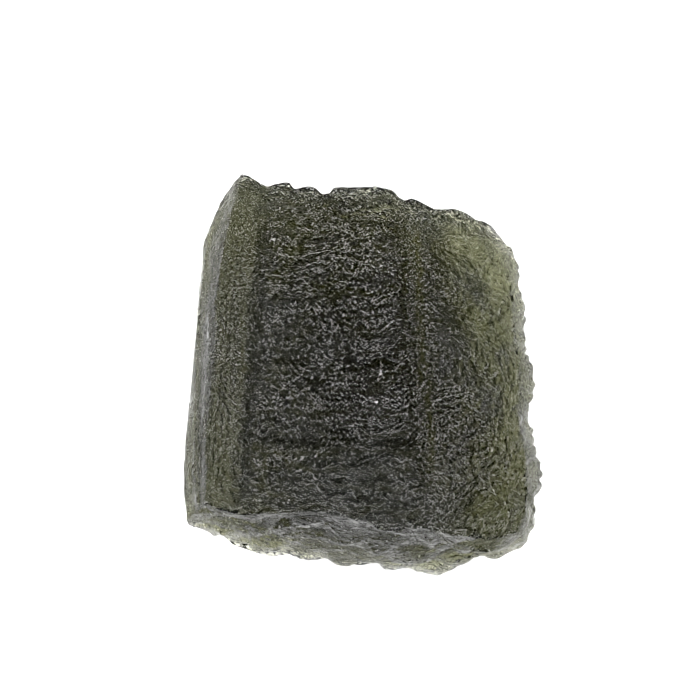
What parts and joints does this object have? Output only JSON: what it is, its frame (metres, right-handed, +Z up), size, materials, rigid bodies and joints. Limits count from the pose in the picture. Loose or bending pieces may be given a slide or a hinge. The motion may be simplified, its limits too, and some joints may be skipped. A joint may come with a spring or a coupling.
{
  "type": "moldavite",
  "caption": "Blocky raw moldavite, natural green glass with flat broken sides and a deeply etched, ridged and pitted surface.",
  "frame": {"origin": "middle of the footprint, at the height of the flat spot that the stone rests on", "axes": "+Z up, out of the broad etched face; +Y to the upper edge of that face; +X to its right edge"},
  "size_m": [0.0208, 0.0224, 0.0108],
  "materials": {
    "tektite_glass": "etched satin, translucent dark olive green"
  },
  "bodies": {
    "root": {"moldavite": "tektite_glass"}
  },
  "joints": []
}
